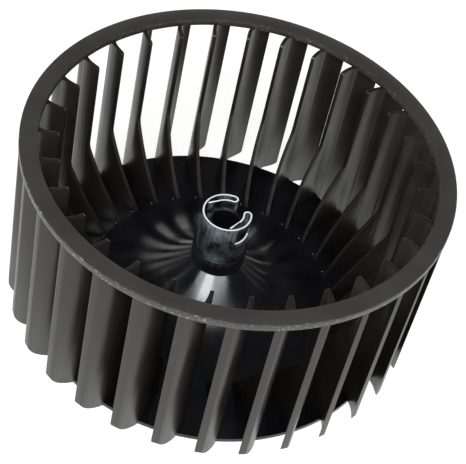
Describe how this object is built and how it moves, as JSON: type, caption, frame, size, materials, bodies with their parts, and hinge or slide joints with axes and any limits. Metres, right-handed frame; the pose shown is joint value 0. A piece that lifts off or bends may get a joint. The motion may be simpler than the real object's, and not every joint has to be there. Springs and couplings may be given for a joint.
{
  "type": "blower motor wheel",
  "caption": "Black moulded centrifugal blower wheel with forward-curved blades, a flat inlet ring, a dished back plate and a split hub gripped by a spring-steel clamp.",
  "frame": {"origin": "on the shaft axis, in the plane the wheel stands on", "axes": "+Z along the shaft axis, from the back plate towards the inlet ring; +X and +Y are in the plane of the plate"},
  "size_m": [0.197, 0.197, 0.0955],
  "materials": {
    "ring_plastic": "satin black moulding",
    "blade_plastic": "satin black moulding",
    "plate_plastic": "polished black moulding",
    "hub_plastic": "black moulding",
    "spring_steel": "bare spring steel strip with bright cut edges"
  },
  "bodies": {
    "wheel": {"inlet_ring": "ring_plastic", "back_plate": "plate_plastic", "hub": "hub_plastic", "blade_01": "blade_plastic", "blade_02": "blade_plastic", "blade_03": "blade_plastic", "blade_04": "blade_plastic", "blade_05": "blade_plastic", "blade_06": "blade_plastic", "blade_07": "blade_plastic", "blade_08": "blade_plastic", "blade_09": "blade_plastic", "blade_10": "blade_plastic", "blade_11": "blade_plastic", "blade_12": "blade_plastic", "blade_13": "blade_plastic", "blade_14": "blade_plastic", "blade_15": "blade_plastic", "blade_16": "blade_plastic", "blade_17": "blade_plastic", "blade_18": "blade_plastic", "blade_19": "blade_plastic", "blade_20": "blade_plastic", "blade_21": "blade_plastic", "blade_22": "blade_plastic", "blade_23": "blade_plastic", "blade_24": "blade_plastic", "blade_25": "blade_plastic", "blade_26": "blade_plastic", "blade_27": "blade_plastic", "blade_28": "blade_plastic", "blade_29": "blade_plastic", "blade_30": "blade_plastic", "blade_31": "blade_plastic"},
    "clamp": {"hub_clamp": "spring_steel"}
  },
  "joints": [
    {"name": "clamp_slide", "type": "slide", "parent": "wheel", "child": "clamp", "axis": [0, 0, 1], "range_m": [0, 0.018]}
  ]
}
